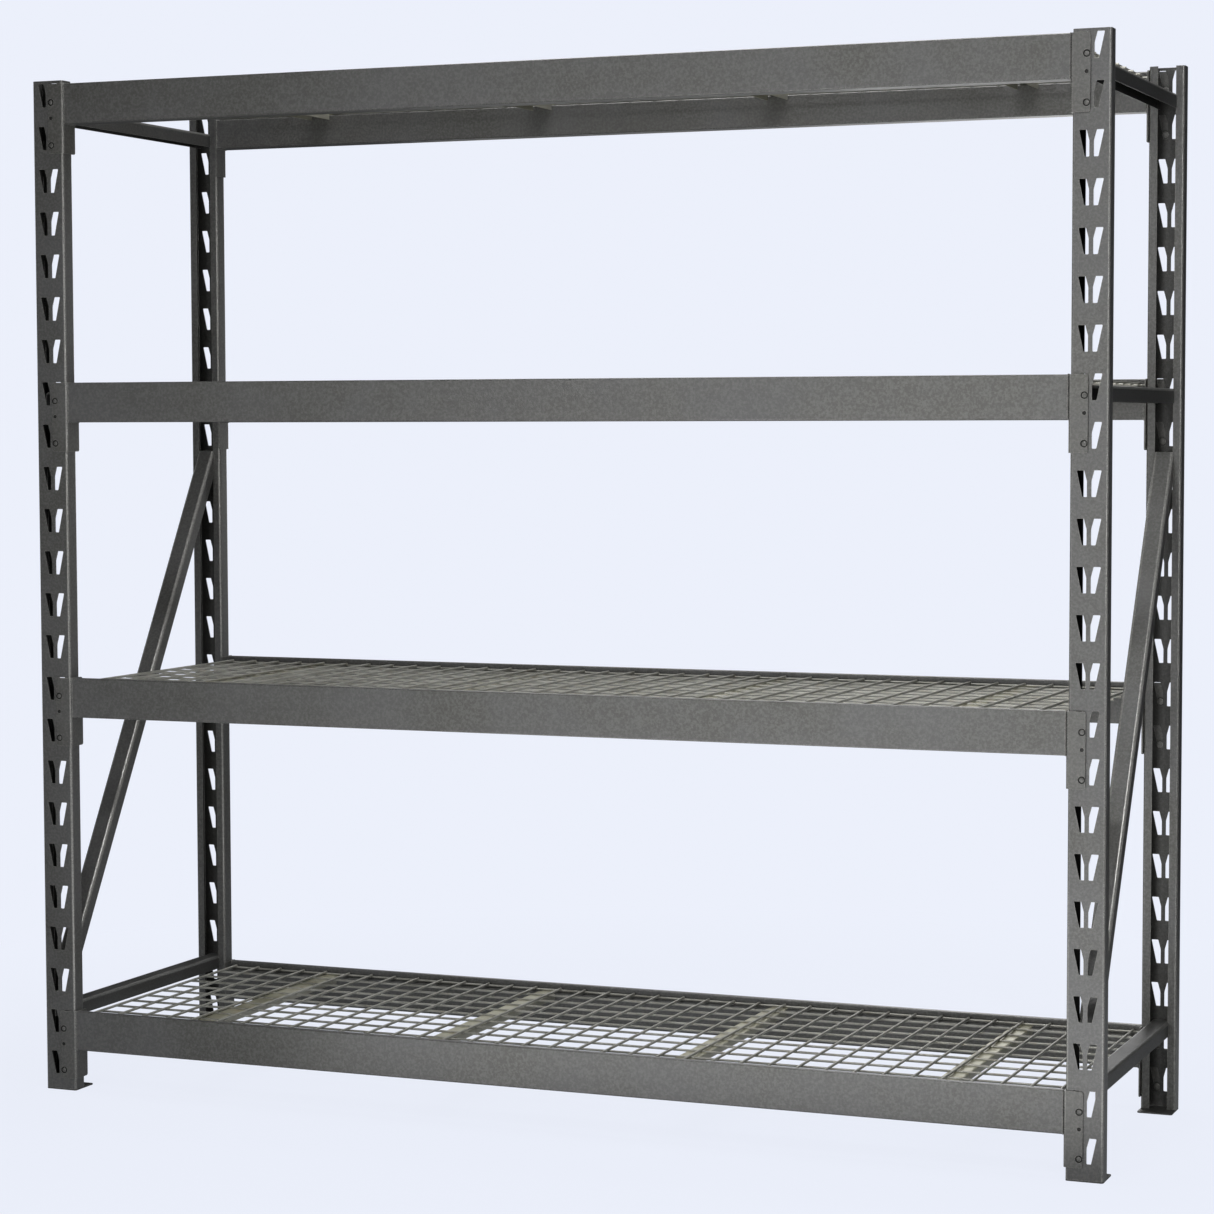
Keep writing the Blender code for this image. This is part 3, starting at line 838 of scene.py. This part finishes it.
# Softboxes: name, place, aim, size, power in watts, spread in degrees
SOFTBOXES = (
    ("key", (-0.7, -5.0, 1.2), (0.3, 0.0, 0.8), (3.2, 2.2), 57, 180),
    ("bounce", (0.7, -1.36, 0.01), (0.7, -1.36, 1.0), (2.6, 1.7), 28, 180),
    ("rear", (0.0, 4.5, 1.0), (0.6, 0.0, 0.2), (2.0, 0.8), 12, 180),
    ("overhead", (0.0, 0.2, 4.4), (0.0, 0.0, 0.8), (3.0, 2.0), 120, 180),
    ("back fill", (-1.2, 5.0, 2.0), (0.0, 0.0, 0.9), (3.0, 2.0), 26, 180),
    ("edge", (2.8, -3.1, 1.6), (0.95, 0.0, 1.3), (0.16, 2.2), 33, 180),
    ("high front", (1.4, -2.9, 4.0), (0.96, 0.0, 0.9), (3.0, 0.5), 14, 70),
)


def seen_or_cast(nodes, seen, cast):
    """A colour that is seen to the camera and cast to the light that falls on other surfaces."""
    is_camera = nodes.add("LightPath").outputs["Is Camera Ray"]
    return nodes.mix(is_camera, cast, seen)


def add_world():
    world = bpy.data.worlds.new("studio")
    bpy.context.scene.world = world
    world.use_nodes = True
    nodes = Nodes(world.node_tree)
    colour = seen_or_cast(nodes, BACKDROP, DIM_SURROUND)
    light = nodes.add("Background", Color=colour)
    nodes.add("OutputWorld", Surface=light.outputs["Background"])


def add_floor():
    """Pale floor that meets the backdrop without a seam and keeps a soft contact shadow."""
    bm = bmesh.new()
    bmesh.ops.create_grid(bm, x_segments=8, y_segments=8, size=FLOOR_REACH)
    mesh = bpy.data.meshes.new("floor")
    bm.to_mesh(mesh)
    bm.free()
    floor = bpy.data.objects.new("floor", mesh)
    bpy.context.scene.collection.objects.link(floor)
    material = bpy.data.materials.new("floor")
    material.use_nodes = True
    nodes = Nodes(material.node_tree)
    place = nodes.add("TexCoord").outputs["Object"]
    reach = nodes.add("VectorMath", {"operation": "LENGTH"})
    nodes.tree.links.new(place, reach.inputs[0])
    near = nodes.spread(reach.outputs["Value"], *GLOW_REACH, 1.0, 0.0)
    cast = nodes.mix(near, DIM_SURROUND, FLOOR_GLOW)
    glow = nodes.add("Emission", Color=seen_or_cast(nodes, BACKDROP, cast))
    matt = nodes.add("BsdfDiffuse", Color=BACKDROP)
    shaded = nodes.spread(reach.outputs["Value"], *SHADOW_REACH, FLOOR_MATT, 0.0)
    share = nodes.add("MixShader", Fac=shaded)
    nodes.tree.links.new(glow.outputs[0], share.inputs[1])
    nodes.tree.links.new(matt.outputs[0], share.inputs[2])
    nodes.add("OutputMaterial", Surface=share.outputs["Shader"])
    mesh.materials.append(material)


def add_softbox(name, place, aim, size, power, spread):
    light = bpy.data.lights.new(name, "AREA")
    light.shape = "RECTANGLE"
    light.size, light.size_y = size
    light.energy = power
    light.spread = math.radians(spread)
    lamp = bpy.data.objects.new(name, light)
    lamp.location = place
    lamp.rotation_euler = (Vector(aim) - Vector(place)).to_track_quat("-Z", "Y").to_euler()
    lamp.visible_camera = False
    bpy.context.scene.collection.objects.link(lamp)


def add_camera():
    data = bpy.data.cameras.new("camera")
    data.lens = CAMERA_LENS
    data.shift_x, data.shift_y = CAMERA_SHIFT
    camera = bpy.data.objects.new("camera", data)
    camera.matrix_world = (Matrix.Translation(CAMERA_PLACE) @ Matrix.Rotation(CAMERA_TURN, 4, "Z")
                           @ Matrix.Rotation(math.pi / 2 - CAMERA_DIP, 4, "X")
                           @ Matrix.Rotation(-CAMERA_ROLL, 4, "Z"))
    bpy.context.scene.collection.objects.link(camera)
    bpy.context.scene.camera = camera


def build_studio():
    add_world()
    add_floor()
    for softbox in SOFTBOXES:
        add_softbox(*softbox)
    add_camera()
    bpy.context.scene.view_settings.view_transform = "Standard"


build_rack()
build_studio()
